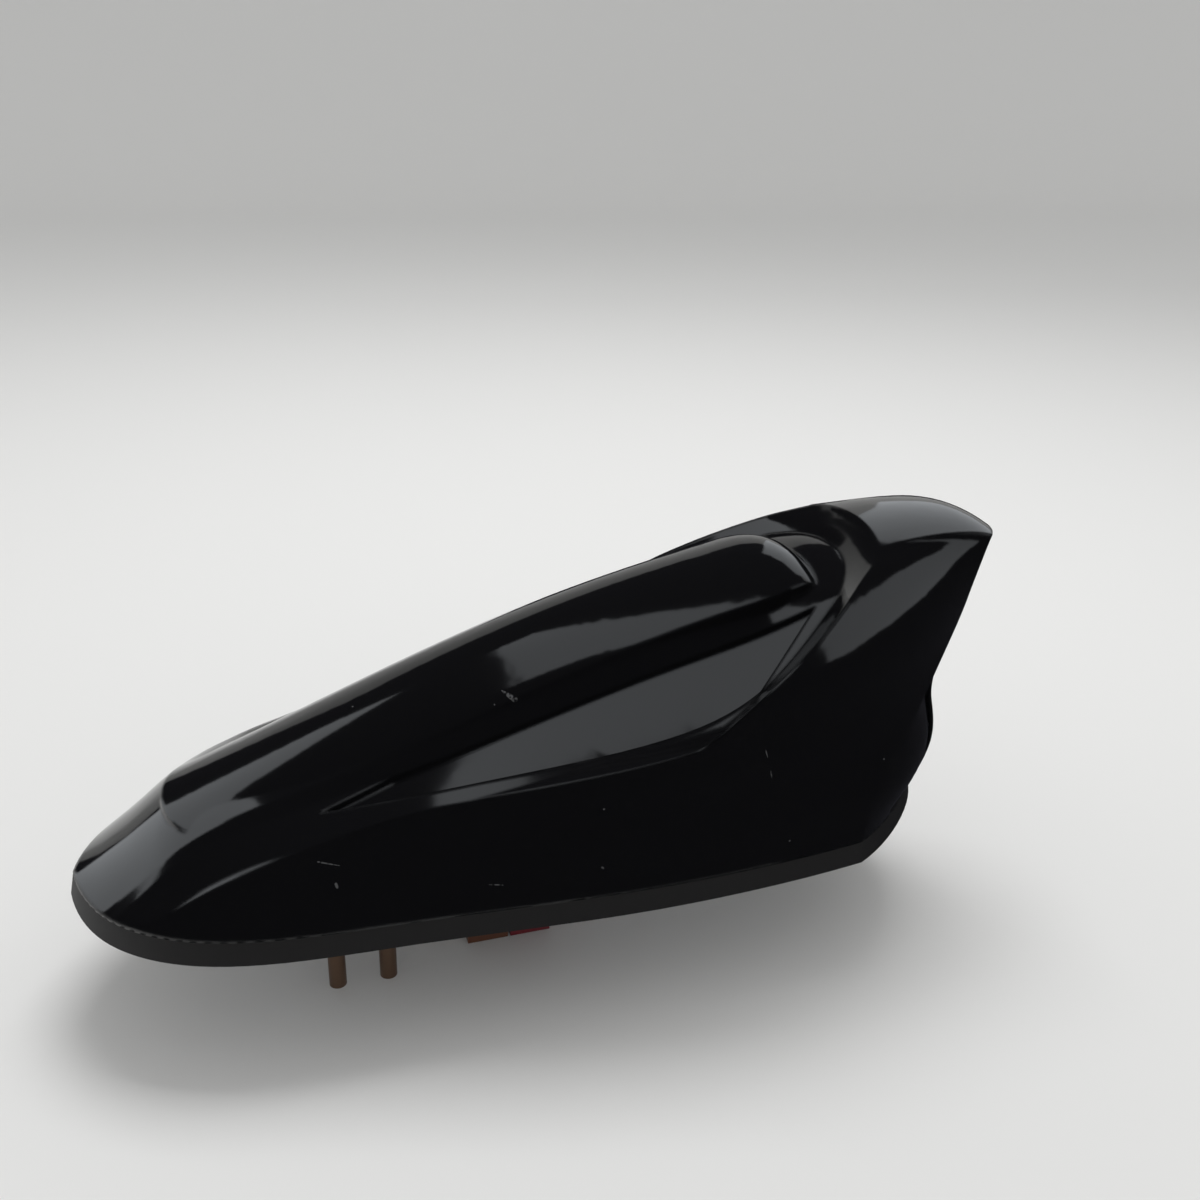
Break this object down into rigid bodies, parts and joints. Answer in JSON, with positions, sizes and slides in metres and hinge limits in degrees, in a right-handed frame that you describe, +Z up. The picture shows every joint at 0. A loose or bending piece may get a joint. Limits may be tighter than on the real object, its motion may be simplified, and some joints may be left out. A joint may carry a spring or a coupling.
{
  "type": "shark fin roof antenna",
  "caption": "Gloss black shark fin roof antenna: sculpted cover with a raised spine and side pockets, rubber seal, fixing base with locating pins and coax sockets below.",
  "frame": {"origin": "on the axis of the fixing thread, in the plane of the vehicle's roof under the seal", "axes": "nose towards -X, fin towards +X, +Z up away from the roof, +Y across the roof"},
  "size_m": [0.1896, 0.0724, 0.087],
  "materials": {
    "cover_gloss": "gloss black",
    "seal_rubber": "matt",
    "plate_alloy": "die-cast",
    "collar_plastic": "moulded",
    "pin_metal": "passivated",
    "insert_steel": "turned and plated",
    "board_laminate": "solder mask",
    "patch_ceramic": "unglazed",
    "tinned_sheet": "tinned",
    "former_plastic": "moulded",
    "coil_copper": "enamelled copper wire",
    "foam": "open-cell foam",
    "socket_brown": "moulded",
    "socket_red": "moulded",
    "contact_gold": "gold flash",
    "screw_steel": "zinc plated"
  },
  "bodies": {
    "root": {"outer_cover": "cover_gloss", "base_seal": "seal_rubber", "base_plate": "plate_alloy", "hole_seal": "seal_rubber", "centring_collar": "collar_plastic", "locating_pins": "pin_metal", "fixing_insert": "insert_steel", "main_board": "board_laminate", "gnss_patch": "patch_ceramic", "patch_electrode": "tinned_sheet", "patch_feed_pin": "tinned_sheet", "shield_can": "tinned_sheet", "lte_blade_front": "tinned_sheet", "lte_blade_rear": "tinned_sheet", "coil_former": "former_plastic", "fm_coil": "coil_copper", "top_load": "tinned_sheet", "roof_foam": "foam", "coax_housing_front": "socket_brown", "coax_housing_rear": "socket_red", "coax_shells": "contact_gold", "coax_contacts": "contact_gold", "board_screws": "screw_steel", "cover_screws": "screw_steel"}
  },
  "joints": []
}
